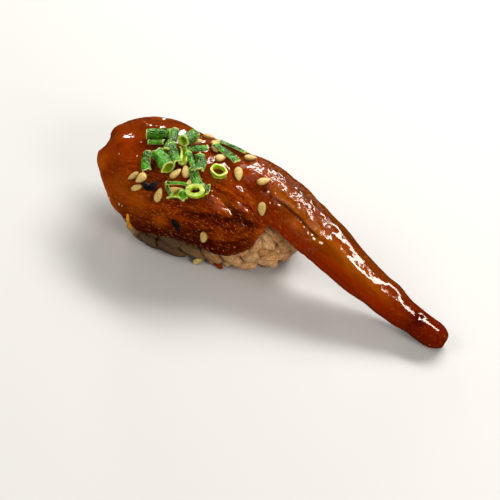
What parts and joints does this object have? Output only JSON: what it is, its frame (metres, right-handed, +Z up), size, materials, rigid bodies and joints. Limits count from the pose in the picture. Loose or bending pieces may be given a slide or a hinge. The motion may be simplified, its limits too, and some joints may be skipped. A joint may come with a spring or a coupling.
{
  "type": "nigiri sushi",
  "caption": "Nigiri sushi: a pressed loaf of rice under a glazed slice that drapes over it and runs out into a long tail reaching down to the table.",
  "frame": {"origin": "middle of the rice loaf's flat underside", "axes": "+X along the loaf towards the tail, +Z up, and -Y towards the side where the slice hangs down as a flap"},
  "size_m": [0.0923, 0.0389, 0.0234],
  "materials": {
    "rice": "moist cooked grains",
    "glazed_slice": "wet glaze"
  },
  "bodies": {
    "root": {"rice": "rice", "topping": "glazed_slice"}
  },
  "joints": []
}
